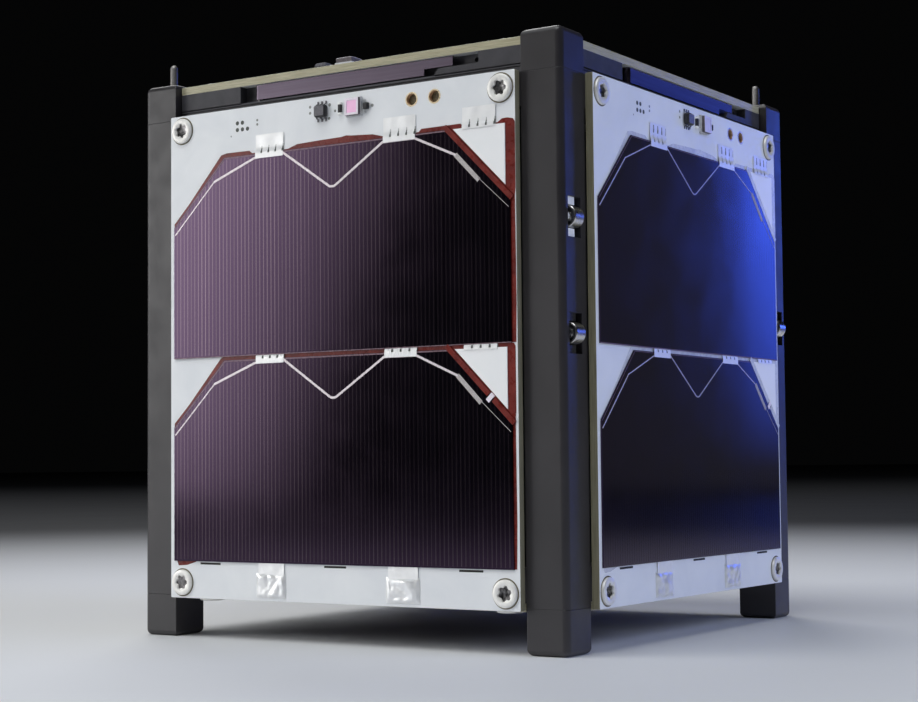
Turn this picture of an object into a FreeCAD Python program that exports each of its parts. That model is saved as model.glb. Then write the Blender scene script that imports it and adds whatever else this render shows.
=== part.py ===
import FreeCAD, Part
import os

# One-unit cube satellite. Millimetres, +Z up, origin on the ground at the centre of the four feet.
# The front is the -Y side. Pieces that repeat on the four sides are made once at the front and
# turned about Z.

V = FreeCAD.Vector
X, Y, Z = V(1, 0, 0), V(0, 1, 0), V(0, 0, 1)

# Overall size and rails
WIDTH = 100.0            # across the outer faces of the rails, both ways
HEIGHT = 113.5           # from the tips of the bottom feet to the tips of the top feet
RAIL = 8.5               # side of a rail's square section
RAIL_CORNER_R = 1.25     # rounding of the corner of a rail or foot that faces outwards
LOW_FOOT_H = 8.4
HIGH_FOOT_H = 7.8
FOOT_TIP_R = 1.15        # rounding round the tip of a foot

# Ribs that join the rails, and what stands on them
RIB_H = 6.3
RIB_PROUD = 0.1          # seats of the boards stand out past the rails' faces
RIB_T = 3.0              # front and rear ribs, measured inwards from the rails' faces
BENCH_T = 8.0            # side ribs, deep enough to carry the stack of boards
STACK_GAP = 1.0          # free space between the stack and a rail
STACK_SEAT = 1.5         # how far the stack rests on each side rib
STACK_HEADROOM = 3.7     # from the stack up to the underside of the high ribs

# Panels: circuit boards that carry the solar cells
BOARD_T = 1.6
BOARD_GAP = 0.2          # between a board and a rail or foot
BOARD_CORNER_R = 0.25
SIDE_BOARD_OVER_LOW = 0.4   # a side board reaches past the lower ends of the rails
SIDE_BOARD_OVER_HIGH = 0.3  # and past their upper ends
END_BOARD_LOW = 7.8      # height of the outer face of the bottom board
SCREW_EDGE = 3.1         # from a screw hole to the two nearest edges of its board
SCREW_HOLE_R = 1.6
TEST_HOLE_R = 1.15       # plated holes beside the sun sensor
TEST_HOLES_U = (18.6, 23.75)
STRIP_V = 3.0            # line of sensors and plated holes, from the edge of the board

# Solar cells, two on each board
CELL_MARGIN_U = 1.1      # from the side of a board to its cells
CELL_T = 0.3
CELL_GAP = 0.7           # between the two cells
CELL_CROP = 13.2         # cut-off upper corners
SIDE_CELL_LOW = 7.4      # from the lower edge of a side board to its lower cell
SIDE_CELL_HIGH = 9.7     # from its upper cell to its upper edge
END_CELL_LOW = 8.8       # the same on the top board, whose sensors are below the cells
END_CELL_HIGH = 7.1
DIODE_LEG = 11.3         # short sides of the triangular bypass diode in a cut-off corner
DIODE_INSET = 1.0        # from the side of the cell
DIODE_T = 0.25

# Sensors: place along the strip, then size along u, v and outwards
SIDE_SUN = (5.4, 3.2, 3.3, 1.2)
SIDE_HEAT = (-2.4, 2.8, 2.4, 1.25)
END_SUN = (-0.5, 3.7, 3.5, 1.5)
END_HEAT = (-6.8, 2.9, 2.6, 1.3)
SUN_BASE_H = 0.55        # base that the sensor's body stands on
SUN_BASE_OUT = 0.2       # how far the base reaches past the body, all round
SUN_RIM = 0.5            # width of the frame round the window
SUN_POCKET = 0.12        # depth of the window's face below the frame
HEAT_EDGE = 0.25         # bevel round the top of a heat sensor

# Antenna frame, on top between the feet
AERIAL_INSET = 1.6       # outer faces of the frame and top board behind the rails' outer faces
AERIAL_WALL = 11.0
TOP_BOARD_BELOW = 0.75   # face of the top board below the tips of the feet
LIP_H = 2.1              # base of the frame, below the recesses
SEAM_BEVEL = 0.35        # broken edge of the frame's base, all along each side
SEAM_LAND = 0.15         # from the broken edge down to the groove
SEAM_GROOVE = 0.25       # height and depth of the groove
RECESS_D = 2.0
RECESS_START = -25.6     # the recess runs from here, low part then high part
RECESS_LOW_END = 21.5
RECESS_SLANT_END = 22.5
RECESS_HIGH_END = 31.5
RECESS_STEP_H = 1.2
TIE_HOLE = (29.9, 0.45, 2.0)    # place along the side, radius and depth
TAPE_T = 0.25
TAPE_GAP_LOW = 0.3
TAPE_GAP_HIGH = 0.12
TAPE_END = 25.5
TAPE_LOW_END = 19.0
TAPE_ROOT = (-21.4, 1.15)       # hinge axis: place along the side, depth in the recess
BARREL_R = 0.75
HINGE_PIN_R = 0.4
HINGE_GAP = 0.05

# Deployment switches in the +X faces of the right-hand rails
SLOT_W = 4.6
SLOT_H = 7.4
SLOT_D = 4.6
ROLLER_R = 2.0
ROLLER_L = 3.2
ROLLER_OUT = 1.2         # how far a roller stands out of its rail
AXLE_R = 0.5
ROLLER_FIT = 0.05
ROLLER_SIDE_GAP = 0.1
FORK_T = 0.5
FORK_EYE_R = 0.8
FORK_BASE_T = 0.8
STOP_GAP = 0.15          # between a roller and the stops above and below it
STOP_SET_BACK = 0.4      # faces of the stops behind the rail's face
STOP_W = 3.0

# Separation spring plungers in two opposite top feet
PLUNGER_R = 0.78
PLUNGER_TIP = 0.5        # bevel round the tip
PLUNGER_OUT = 5.0
PLUNGER_GUIDE = 2.6
PLUNGER_STROKE = 4.6
PLUNGER_FIT = 0.06
PLUNGER_END_GAP = 0.2

# Worked out from the sizes above
HALF = WIDTH / 2
RAIL_IN = HALF - RAIL                        # inner faces of the rails
RAIL_MID = HALF - RAIL / 2
RAIL_LOW = LOW_FOOT_H
RAIL_HIGH = HEIGHT - HIGH_FOOT_H
BOARD_SEAT = HALF + RIB_PROUD
BOARD_HALF = RAIL_IN - BOARD_GAP             # half the width of a side board
SIDE_BOARD_LOW = RAIL_LOW - SIDE_BOARD_OVER_LOW
SIDE_BOARD_HIGH = RAIL_HIGH + SIDE_BOARD_OVER_HIGH
SIDE_BOARD_HALF_H = (SIDE_BOARD_HIGH - SIDE_BOARD_LOW) / 2
RIB_LOW = END_BOARD_LOW + BOARD_T
HIGH_RIB_LOW = RAIL_HIGH - RIB_H
AERIAL_HALF = HALF - AERIAL_INSET
TOP_FACE = HEIGHT - TOP_BOARD_BELOW
AERIAL_HIGH = TOP_FACE - BOARD_T
RECESS_LOW = RAIL_HIGH + LIP_H
ROLLER_X = HALF + ROLLER_OUT - ROLLER_R
RIBS = (("low", RIB_LOW), ("high", HIGH_RIB_LOW))                          # level, underside

# Name, turn about Z, shift of the tape and its recess along the side
SIDES = (("front", 0, 0), ("right", 90, 2.3), ("rear", 180, 0), ("left", 270, 2.3))
ENDS = (("top", TOP_FACE, 0, AERIAL_HALF),
        ("bottom", END_BOARD_LOW, 180, HALF))      # name, height of its face, turn about X, half size
CORNERS = (("front_left", -1, -1), ("front_right", 1, -1),
           ("rear_right", 1, 1), ("rear_left", -1, 1))                     # name, x side, y side
SWITCHES = ((1, -1, 78.9), (2, -1, 57.8), (3, 1, 63.7))                    # number, y side, height
PLUNGER_FEET = ("front_left", "rear_right")


def box(x0, x1, y0, y1, z0, z1):
    return Part.makeBox(x1 - x0, y1 - y0, z1 - z0, V(x0, y0, z0))


def joined(shapes):
    shapes = list(shapes)
    return shapes[0].multiFuse(shapes[1:]).removeSplitter() if len(shapes) > 1 else shapes[0]


def upright_edges(shape, x=None, y=None):
    """Edges along Z, all of them or only those that stand at the given x and y."""
    found = []
    for edge in shape.Edges:
        a, b = edge.firstVertex().Point, edge.lastVertex().Point
        upright = abs(a.x - b.x) < 1e-6 and abs(a.y - b.y) < 1e-6
        if upright and (x is None or (abs(a.x - x) < 1e-6 and abs(a.y - y) < 1e-6)):
            found.append(edge)
    return found


def turned(shape, degrees, shift=0):
    """Copy of a front piece, shifted along the front and then turned about Z."""
    copy = shape.copy()
    copy.translate(X * shift)
    copy.rotate(V(0, 0, 0), Z, degrees)
    return copy


def rounded_post(sx, sy, z0, z1):
    """A rail or foot at the corner (sx, sy), rounded on the outside."""
    xs = sorted((sx * RAIL_IN, sx * HALF))
    ys = sorted((sy * RAIL_IN, sy * HALF))
    post = box(*xs, *ys, z0, z1)
    return post.makeFillet(RAIL_CORNER_R, upright_edges(post, sx * HALF, sy * HALF))


def side_frame(sx):
    """Two rails and the two deep ribs between them, machined as one piece."""
    rails = [rounded_post(sx, sy, RAIL_LOW, RAIL_HIGH) for sy in (-1, 1)]
    xs = sorted((sx * BOARD_SEAT, sx * (HALF - BENCH_T)))
    ribs = [box(*xs, -RAIL_IN, RAIL_IN, z, z + RIB_H) for _, z in RIBS]
    frame = joined(rails + ribs)
    return frame.cut([slot(sy, z) for _, sy, z in SWITCHES]) if sx > 0 else frame


def slot(sy, z):
    y = sy * RAIL_MID
    return box(HALF - SLOT_D, HALF + RAIL_CORNER_R, y - SLOT_W / 2, y + SLOT_W / 2,
               z - SLOT_H / 2, z + SLOT_H / 2)


def cross_rib(z):
    """Front rib between the two side frames."""
    return box(-RAIL_IN, RAIL_IN, -BOARD_SEAT, -HALF + RIB_T, z, z + RIB_H)


def foot(sx, sy, z0, z1, tip, sprung):
    """Foot with its rounded tip at z = tip."""
    post = rounded_post(sx, sy, z0, z1)
    rim = [e for e in post.Edges if all(abs(v.Point.z - tip) < 1e-6 for v in e.Vertexes)]
    post = post.makeFillet(FOOT_TIP_R, rim)
    if sprung:
        depth = PLUNGER_GUIDE + PLUNGER_STROKE + PLUNGER_END_GAP
        post = post.cut(Part.makeCylinder(PLUNGER_R + PLUNGER_FIT, depth + 1,
                                          V(sx * RAIL_MID, sy * RAIL_MID, tip - depth)))
    return post


def plunger(sx, sy):
    length = PLUNGER_GUIDE + PLUNGER_OUT
    pin = Part.makeCylinder(PLUNGER_R, length, V(sx * RAIL_MID, sy * RAIL_MID, HEIGHT - PLUNGER_GUIDE))
    tip = [e for e in pin.Edges if e.Closed and e.BoundBox.ZMin > HEIGHT + PLUNGER_OUT - 1e-6]
    return pin.makeChamfer(PLUNGER_TIP, tip)


def stack():
    """Batteries, radio and computer boards as one plain block on the lower side ribs."""
    half_x = HALF - BENCH_T + STACK_SEAT
    half_y = RAIL_IN - STACK_GAP
    return box(-half_x, half_x, -half_y, half_y, RIB_LOW + RIB_H, HIGH_RIB_LOW - STACK_HEADROOM)


# Boards and cells are made flat: u to the right, v up, w outwards, with the origin in the middle
# of the board's face.

def side_place(degrees):
    """From a flat board's own axes to the side that is turned by so many degrees."""
    stand = FreeCAD.Rotation(X, 90)
    middle = (SIDE_BOARD_LOW + SIDE_BOARD_HIGH) / 2
    face = FreeCAD.Placement(V(0, -(BOARD_SEAT + BOARD_T), middle), stand)
    return FreeCAD.Placement(V(0, 0, 0), FreeCAD.Rotation(Z, degrees)).multiply(face)


def placed(shape, placement):
    copy = shape.copy()
    copy.transformShape(placement.toMatrix())
    return copy


def side_board():
    board = box(-BOARD_HALF, BOARD_HALF, -SIDE_BOARD_HALF_H, SIDE_BOARD_HALF_H, -BOARD_T, 0)
    board = board.makeFillet(BOARD_CORNER_R, upright_edges(board))
    at = [(su * (BOARD_HALF - SCREW_EDGE), sv * (SIDE_BOARD_HALF_H - SCREW_EDGE), SCREW_HOLE_R)
          for su in (-1, 1) for sv in (-1, 1)]
    at += [(u, SIDE_BOARD_HALF_H - STRIP_V, TEST_HOLE_R) for u in TEST_HOLES_U]
    return board.cut([Part.makeCylinder(r, BOARD_T, V(u, v, -BOARD_T)) for u, v, r in at])


def end_board(half):
    """Square board with its corners cut out round the feet."""
    board = box(-half, half, -half, half, -BOARD_T, 0)
    board = board.cut([box(*sorted((sx * BOARD_HALF, sx * (half + 1))),
                           *sorted((sy * BOARD_HALF, sy * (half + 1))), -BOARD_T, 0)
                       for _, sx, sy in CORNERS])
    return board.removeSplitter()


def cell_pair(low, high):
    """Two cells, one above the other, each with its upper corners cut off."""
    cells = []
    half = BOARD_HALF - CELL_MARGIN_U
    height = (high - low - CELL_GAP) / 2
    for v in (low, high - height):
        top = v + height
        outline = [(-half, v), (half, v), (half, top - CELL_CROP), (half - CELL_CROP, top),
                   (CELL_CROP - half, top), (-half, top - CELL_CROP)]
        points = [V(a, b, 0) for a, b in outline + outline[:1]]
        cells.append(Part.Face(Part.makePolygon(points)).extrude(Z * CELL_T))
    return Part.makeCompound(cells)


def diodes(low, high):
    """Triangular bypass diode in the cut-off right-hand corner of each cell."""
    half = BOARD_HALF - CELL_MARGIN_U - DIODE_INSET
    height = (high - low - CELL_GAP) / 2
    flat = []
    for top in (low + height, high):
        outline = [(half, top), (half - DIODE_LEG, top), (half, top - DIODE_LEG), (half, top)]
        flat.append(Part.Face(Part.makePolygon([V(a, b, 0) for a, b in outline])).extrude(Z * DIODE_T))
    return Part.makeCompound(flat)


def plate(size, v, low, high, out=0):
    """Flat box at a sensor's place, larger all round by the outset."""
    u, width, height, _ = size
    a, b = width / 2 + out, height / 2 + out
    return box(u - a, u + a, v - b, v + b, low, high)


def sun_sensor(size, v):
    """Base, and on it the body with the window set into its top."""
    rise = size[3]
    body = joined([plate(size, v, 0, SUN_BASE_H, SUN_BASE_OUT),
                   plate(size, v, 0, rise)])
    return body.cut(plate(size, v, rise - SUN_POCKET, rise, -SUN_RIM))


def heat_sensor(size, v):
    body = plate(size, v, 0, size[3])
    top = [e for e in body.Edges if all(abs(p.Point.z - size[3]) < 1e-6 for p in e.Vertexes)]
    return body.makeChamfer(HEAT_EDGE, top)


def antenna_frame():
    """Ring between the top feet, with one recess for a stowed tape in each side."""
    low, high = RAIL_HIGH, AERIAL_HIGH
    ring = joined([box(-AERIAL_HALF, AERIAL_HALF, -BOARD_HALF, BOARD_HALF, low, high),
                   box(-BOARD_HALF, BOARD_HALF, -AERIAL_HALF, AERIAL_HALF, low, high)])
    inner = AERIAL_HALF - AERIAL_WALL
    cuts = [box(-inner, inner, -inner, inner, low, high)]
    for _, degrees, shift in SIDES:
        cuts += [turned(tape_recess(), degrees, shift), turned(tie_hole(), degrees, shift)]
        cuts += [turned(cut, degrees) for cut in (seam_bevel(), seam_groove())]
    return ring.cut(cuts)


def tape_recess():
    outline = [(RECESS_START, RECESS_LOW), (RECESS_LOW_END, RECESS_LOW),
               (RECESS_SLANT_END, RECESS_LOW + RECESS_STEP_H),
               (RECESS_HIGH_END, RECESS_LOW + RECESS_STEP_H),
               (RECESS_HIGH_END, AERIAL_HIGH), (RECESS_START, AERIAL_HIGH)]
    points = [V(u, -AERIAL_HALF, z) for u, z in outline + outline[:1]]
    return Part.Face(Part.makePolygon(points)).extrude(Y * RECESS_D)


def seam_bevel():
    """Broken upper edge of the frame's base, which carries the tapes."""
    y, z, c = -AERIAL_HALF, RECESS_LOW, SEAM_BEVEL
    points = [V(-BOARD_HALF, y, z - c), V(-BOARD_HALF, y + c, z), V(-BOARD_HALF, y, z),
              V(-BOARD_HALF, y, z - c)]
    return Part.Face(Part.makePolygon(points)).extrude(X * (2 * BOARD_HALF))


def seam_groove():
    """Narrow groove below the broken edge."""
    high = RECESS_LOW - SEAM_BEVEL - SEAM_LAND
    return box(-BOARD_HALF, BOARD_HALF, -AERIAL_HALF, SEAM_GROOVE - AERIAL_HALF,
               high - SEAM_GROOVE, high)


def tie_hole():
    u, radius, depth = TIE_HOLE
    z = (RECESS_LOW + RECESS_STEP_H + AERIAL_HIGH) / 2
    return Part.makeCylinder(radius, depth, V(u, -AERIAL_HALF + RECESS_D, z), Y)


def hinge_axis():
    u, depth = TAPE_ROOT
    return V(u, -AERIAL_HALF + depth, 0)


def antenna_tape():
    """Flat spring tape along the front, with its hinge barrel at the root."""
    axis = hinge_axis()
    low, high = RECESS_LOW + TAPE_GAP_LOW, AERIAL_HIGH - TAPE_GAP_HIGH
    face = axis.y - BARREL_R
    tip_low = RECESS_LOW + RECESS_STEP_H + TAPE_GAP_LOW
    tape = joined([box(axis.x, TAPE_LOW_END, face, face + TAPE_T, low, high),
                   box(TAPE_LOW_END, TAPE_END, face, face + TAPE_T, tip_low, high)])
    barrel = Part.makeCylinder(BARREL_R, high - low, V(axis.x, axis.y, low))
    bore = Part.makeCylinder(HINGE_PIN_R + HINGE_GAP, high - low, V(axis.x, axis.y, low))
    return joined([tape, barrel]).cut(bore)


def hinge_pins():
    axis = hinge_axis()
    pin = Part.makeCylinder(HINGE_PIN_R, AERIAL_HIGH - RECESS_LOW, V(axis.x, axis.y, RECESS_LOW))
    return Part.makeCompound([turned(pin, degrees, shift) for _, degrees, shift in SIDES])


def switch_bracket(sy, z):
    """Bracket in a rail slot: base, two cheeks with the axle, and the stops of the roller."""
    y = sy * RAIL_MID
    floor = HALF - SLOT_D
    half = SLOT_W / 2
    base = box(floor, floor + FORK_BASE_T, y - half, y + half, z - SLOT_H / 2, z + SLOT_H / 2)
    pieces = [base]
    stop_low = ROLLER_R + STOP_GAP
    for side in (-1, 1):
        outer = ROLLER_L / 2 + ROLLER_SIDE_GAP + FORK_T
        ys = sorted((y + side * outer, y + side * (outer - FORK_T)))
        pieces.append(box(floor, ROLLER_X, *ys, z - FORK_EYE_R, z + FORK_EYE_R))
        pieces.append(Part.makeCylinder(FORK_EYE_R, FORK_T, V(ROLLER_X, ys[0], z), Y))
        zs = sorted((z + side * stop_low, z + side * SLOT_H / 2))
        pieces.append(box(floor, HALF - STOP_SET_BACK, y - half, y - half + STOP_W, *zs))
    reach = ROLLER_L / 2 + ROLLER_SIDE_GAP
    pieces.append(Part.makeCylinder(AXLE_R, 2 * reach, V(ROLLER_X, y - reach, z), Y))
    return joined(pieces)


def roller(sy, z):
    y = sy * RAIL_MID
    start = V(ROLLER_X, y - ROLLER_L / 2, z)
    drum = Part.makeCylinder(ROLLER_R, ROLLER_L, start, Y)
    rims = [e for e in drum.Edges if e.Closed]
    drum = drum.makeChamfer(0.25, rims)
    return drum.cut(Part.makeCylinder(AXLE_R + ROLLER_FIT, ROLLER_L, start, Y))


def build():
    parts = {}
    for name, sx in (("left", -1), ("right", 1)):
        parts["side_frame_" + name] = side_frame(sx)
    for name, degrees in (("front", 0), ("rear", 180)):
        for level, z in RIBS:
            parts[f"cross_rib_{name}_{level}"] = turned(cross_rib(z), degrees)
    for name, sx, sy in CORNERS:
        parts["bottom_foot_" + name] = foot(sx, sy, 0, RAIL_LOW, 0, False)
        sprung = name in PLUNGER_FEET
        parts["top_foot_" + name] = foot(sx, sy, RAIL_HIGH, HEIGHT, HEIGHT, sprung)
        if sprung:
            parts["separation_plunger_" + name] = plunger(sx, sy)
    parts["avionics_stack"] = stack()

    side = (side_board(), SIDE_CELL_LOW - SIDE_BOARD_HALF_H, SIDE_BOARD_HALF_H - SIDE_CELL_HIGH,
            SIDE_BOARD_HALF_H - STRIP_V, SIDE_SUN, SIDE_HEAT)
    faces = [(name, side_place(degrees), *side) for name, degrees, _ in SIDES]
    for name, height, over, half in ENDS:
        place = FreeCAD.Placement(V(0, 0, height), FreeCAD.Rotation(X, over))
        faces.append((name, place, end_board(half), END_CELL_LOW - AERIAL_HALF,
                      AERIAL_HALF - END_CELL_HIGH, STRIP_V - half, END_SUN, END_HEAT))
    sun, heat, bypass = [], [], []
    for name, place, board, cell_low, cell_high, strip_v, sun_size, heat_size in faces:
        parts[name + "_board"] = placed(board, place)
        parts[name + "_solar_cells"] = placed(cell_pair(cell_low, cell_high), place)
        bypass.append(placed(diodes(cell_low, cell_high), place))
        sun.append(placed(sun_sensor(sun_size, strip_v), place))
        heat.append(placed(heat_sensor(heat_size, strip_v), place))
    parts["bypass_diodes"] = Part.makeCompound([solid for pair in bypass for solid in pair.Solids])
    parts["sun_sensors"] = Part.makeCompound(sun)
    parts["heat_sensors"] = Part.makeCompound(heat)

    parts["antenna_frame"] = antenna_frame()
    parts["antenna_hinge_pins"] = hinge_pins()
    for name, degrees, shift in SIDES:
        parts["antenna_tape_" + name] = turned(antenna_tape(), degrees, shift)

    for number, sy, z in SWITCHES:
        parts[f"switch_bracket_{number}"] = switch_bracket(sy, z)
        parts[f"switch_roller_{number}"] = roller(sy, z)
    return parts


os.makedirs("parts", exist_ok=True)
for node, shape in build().items():
    if not shape.isValid():
        raise ValueError(node + " isn't a valid shape")
    shape.exportStep(f"parts/{node}.step")
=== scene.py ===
import math

import bmesh
import bpy
from mathutils import Matrix, Quaternion, Vector, noise


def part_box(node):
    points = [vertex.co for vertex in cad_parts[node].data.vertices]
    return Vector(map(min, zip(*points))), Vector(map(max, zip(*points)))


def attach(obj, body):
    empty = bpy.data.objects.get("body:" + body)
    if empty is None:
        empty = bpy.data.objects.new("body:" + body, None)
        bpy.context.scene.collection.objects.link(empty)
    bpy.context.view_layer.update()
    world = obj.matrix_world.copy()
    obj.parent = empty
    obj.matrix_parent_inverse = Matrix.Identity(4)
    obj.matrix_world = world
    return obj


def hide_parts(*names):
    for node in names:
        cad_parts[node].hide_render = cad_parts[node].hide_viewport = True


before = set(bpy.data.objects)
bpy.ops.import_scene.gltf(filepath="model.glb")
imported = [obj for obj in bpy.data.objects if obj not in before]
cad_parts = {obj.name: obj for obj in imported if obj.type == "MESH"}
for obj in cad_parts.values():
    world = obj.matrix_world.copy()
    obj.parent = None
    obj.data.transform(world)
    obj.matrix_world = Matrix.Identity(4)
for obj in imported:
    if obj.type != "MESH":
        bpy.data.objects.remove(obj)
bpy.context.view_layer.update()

# The object's sizes are in millimetres, and MM takes them into metres, the frame's unit.
# The lights and the points they stand at are in metres.
MM = 0.001
X, Y, Z = Vector((1, 0, 0)), Vector((0, 1, 0)), Vector((0, 0, 1))


# ---------------------------------------------------------------- camera

# The photo's camera, fitted to the corners of the rails, the feet and the boards.
LENS, SENSOR = 72.53, 36.0
CAMERA_AT = (212.861, -336.417, 34.919)
CAMERA_ANGLES = (32.894, 3.414, -0.546)       # turn, rise and roll, in degrees


def make_camera():
    data = bpy.data.cameras.new("camera")
    data.lens, data.sensor_width = LENS, SENSOR
    data.clip_start, data.clip_end = 0.01, 50
    cam = bpy.data.objects.new("camera", data)
    bpy.context.scene.collection.objects.link(cam)
    turn, rise, roll = (math.radians(a) for a in CAMERA_ANGLES)
    level = math.cos(rise)
    ahead = Vector((-math.sin(turn) * level, math.cos(turn) * level, math.sin(rise)))
    across = Vector((math.cos(turn), math.sin(turn), 0))
    above = across.cross(ahead)
    right = across * math.cos(roll) + above * math.sin(roll)
    up = above * math.cos(roll) - across * math.sin(roll)
    at = Matrix((right, up, -ahead)).transposed().to_4x4()
    at.translation = Vector(CAMERA_AT) * MM
    cam.matrix_world = at
    bpy.context.scene.camera = cam


make_camera()


# ---------------------------------------------------------------- materials

EDGE_DOT = (0.72, 0.995)      # rounded normal on true normal: at a sharp edge, on a flat face
FACING = 0.8                  # share of the normal along an axis of a face that looks along it


class Shader:
    """A node material with one Principled shader, built up a layer at a time."""

    def __init__(self, name, **constants):
        self.mat = bpy.data.materials.new(name)
        self.mat.use_nodes = True
        self.tree = self.mat.node_tree
        self.skin = self.tree.nodes["Principled BSDF"]
        self.where = self.node("ShaderNodeTexCoord").outputs["Object"]
        for socket, value in constants.items():
            self.skin.inputs[socket.replace("_", " ")].default_value = value

    def node(self, kind, **props):
        n = self.tree.nodes.new(kind)
        for key, value in props.items():
            setattr(n, key, value)
        return n

    def link(self, a, b):
        self.tree.links.new(a, b)

    def feed(self, socket, value):
        """Gives a socket the output of another node, or a constant."""
        if hasattr(value, "links"):
            self.link(value, socket)
        else:
            socket.default_value = value

    def grain(self, size, stretch=(1, 1, 1), detail=3.0, distort=0.0):
        """Noise whose features are size mm across, longer along an axis by its stretch."""
        place = self.node("ShaderNodeMapping")
        place.inputs["Scale"].default_value = [1 / (size * MM * s) for s in stretch]
        self.link(self.where, place.inputs["Vector"])
        n = self.node("ShaderNodeTexNoise")
        n.inputs["Scale"].default_value = 1.0
        n.inputs["Detail"].default_value = detail
        n.inputs["Roughness"].default_value = 0.55
        n.inputs["Distortion"].default_value = distort
        self.link(place.outputs[0], n.inputs["Vector"])
        return n.outputs[0]

    def ramp(self, value, low, high, span=(0.35, 0.65), kind="LINEAR"):
        """From low to high while the value goes over the span."""
        n = self.node("ShaderNodeMapRange", interpolation_type=kind)
        for socket, v in zip((1, 2, 3, 4), (*span, low, high)):
            n.inputs[socket].default_value = v
        self.link(value, n.inputs[0])
        return n.outputs[0]

    def blend(self, share, low, high):
        """Colour between low and high; either may be a colour or the output of another blend."""
        n = self.node("ShaderNodeMix", data_type="RGBA")
        self.link(share, n.inputs[0])
        for socket, c in ((n.inputs[6], low), (n.inputs[7], high)):
            self.feed(socket, c if hasattr(c, "links") else (*c, 1))
        return n.outputs[2]

    def math(self, kind, a, b):
        n = self.node("ShaderNodeMath", operation=kind)
        self.feed(n.inputs[0], a)
        self.feed(n.inputs[1], b)
        return n.outputs[0]

    def colour(self, value):
        self.link(value, self.skin.inputs["Base Color"])
        return self

    def rough(self, value):
        self.link(value, self.skin.inputs["Roughness"])
        return self

    def bump(self, height, depth):
        """Adds a bump of depth mm, on top of the ones before."""
        n = self.node("ShaderNodeBump")
        n.inputs["Strength"].default_value = 1.0
        n.inputs["Distance"].default_value = depth * MM
        self.link(height, n.inputs["Height"])
        old = self.skin.inputs["Normal"].links
        if old:
            self.link(old[0].from_socket, n.inputs["Normal"])
        self.link(n.outputs[0], self.skin.inputs["Normal"])
        return self

    def edges(self, radius):
        """0 on flat faces, towards 1 on edges sharper than radius mm."""
        soft = self.node("ShaderNodeBevel", samples=6)
        soft.inputs["Radius"].default_value = radius * MM
        true = self.node("ShaderNodeNewGeometry")
        dot = self.node("ShaderNodeVectorMath", operation="DOT_PRODUCT")
        self.link(soft.outputs[0], dot.inputs[0])
        self.link(true.outputs["Normal"], dot.inputs[1])
        return self.ramp(dot.outputs["Value"], 1.0, 0.0, EDGE_DOT)

    def towards(self, axis):
        """1 on faces that look along the axis, either way, and 0 on the others."""
        true = self.node("ShaderNodeNewGeometry")
        parts = self.node("ShaderNodeSeparateXYZ")
        self.link(true.outputs["True Normal"], parts.inputs[0])
        size = self.math("ABSOLUTE", parts.outputs[axis], 0.0)
        return self.math("GREATER_THAN", size, FACING)


def metal(name, dark, light, rough, grain, stretch=(1, 1, 1), bump=0.004):
    """Bare metal between two tones, with roughness in a span and fine grain."""
    s = Shader(name, Metallic=1.0)
    fine = s.grain(grain, stretch)
    s.colour(s.blend(s.ramp(fine, 0, 1), dark, light))
    s.rough(s.ramp(s.grain(grain * 2.3, stretch), *rough))
    return s.bump(fine, bump).mat


def plain(name, dark, light, rough, size, bump, **constants):
    """Anything else between two tones, with roughness in a span and clouds size mm across."""
    s = Shader(name, **constants)
    s.colour(s.blend(s.ramp(s.grain(size, detail=4), 0, 1), dark, light))
    s.rough(s.ramp(s.grain(size * 0.6), *rough))
    return s.bump(s.grain(size * 0.3), bump).mat


HALF_HEIGHT = 56.75           # of the satellite, from the tips of its feet
WEAR_AND_HIGHLIGHT_SPAN = (51.0, 55.5)      # height above and below the middle where the edges' wear and painted highlight set in


def anodised():
    """Black anodised aluminium, paler grey along the edges near the tips of the feet: partly wear,
    partly painted highlight.
    """
    s = Shader("black_anodised", Specular_IOR_Level=0.68)
    cloud = s.grain(14, detail=4)
    speck = s.grain(0.16, detail=2)
    base = s.blend(s.ramp(cloud, 0, 1), (0.0222, 0.0196, 0.0215), (0.0305, 0.0272, 0.0296))
    parts = s.node("ShaderNodeSeparateXYZ")
    s.link(s.where, parts.inputs[0])
    from_middle = s.math("SUBTRACT", parts.outputs[2], HALF_HEIGHT * MM)
    from_middle = s.math("ABSOLUTE", from_middle, 0.0)
    ends = s.ramp(from_middle, 0.12, 1.3, [z * MM for z in WEAR_AND_HIGHLIGHT_SPAN])
    # Paler edges near the tips of the feet: partly wear, partly painted highlight where the rounded
    # edges catch light.
    worn = s.math("MULTIPLY", s.edges(0.28), ends)
    worn = s.math("MULTIPLY", worn, s.ramp(s.grain(1.6), 0.3, 0.9))
    s.colour(s.blend(worn, base, (0.13, 0.125, 0.12)))
    s.rough(s.ramp(s.grain(5), 0.35, 0.44))
    s.bump(speck, 0.006).bump(s.grain(0.5, (1, 1, 12)), 0.002)
    return s.mat


LAMINATE = ((0.23, 0.212, 0.135), (0.37, 0.345, 0.24))
TOP_LAMINATE_LIT = 1.45              # laminate of the top board against that of the side boards: painted light, drawn paler as a lit edge


def circuit_board(axis):
    """White mask on the faces across the axis, bare glass-fibre laminate on the edges."""
    s = Shader("circuit_board_" + "xyz"[axis], Specular_IOR_Level=0.5)
    tone = s.ramp(s.grain(11, detail=4, distort=0.6), 0, 1)
    mask = s.blend(tone, (0.82, 0.84, 0.865), (0.88, 0.895, 0.91))
    layers = s.ramp(s.grain(0.5, [12 if i != axis else 0.22 for i in range(3)]), 0, 1)
    # Painted light: the laminate of the top and bottom boards is drawn paler than that of the side
    # boards.
    pale = TOP_LAMINATE_LIT if axis == 2 else 1.0
    laminate = s.blend(layers, *([c * pale for c in shade] for shade in LAMINATE))
    s.colour(s.blend(s.towards(axis), laminate, mask))
    s.rough(s.ramp(s.grain(2.4), 0.30, 0.42))
    s.bump(s.grain(0.35), 0.004).bump(s.grain(4.5, distort=1.2), 0.012)
    return s.mat


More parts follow.
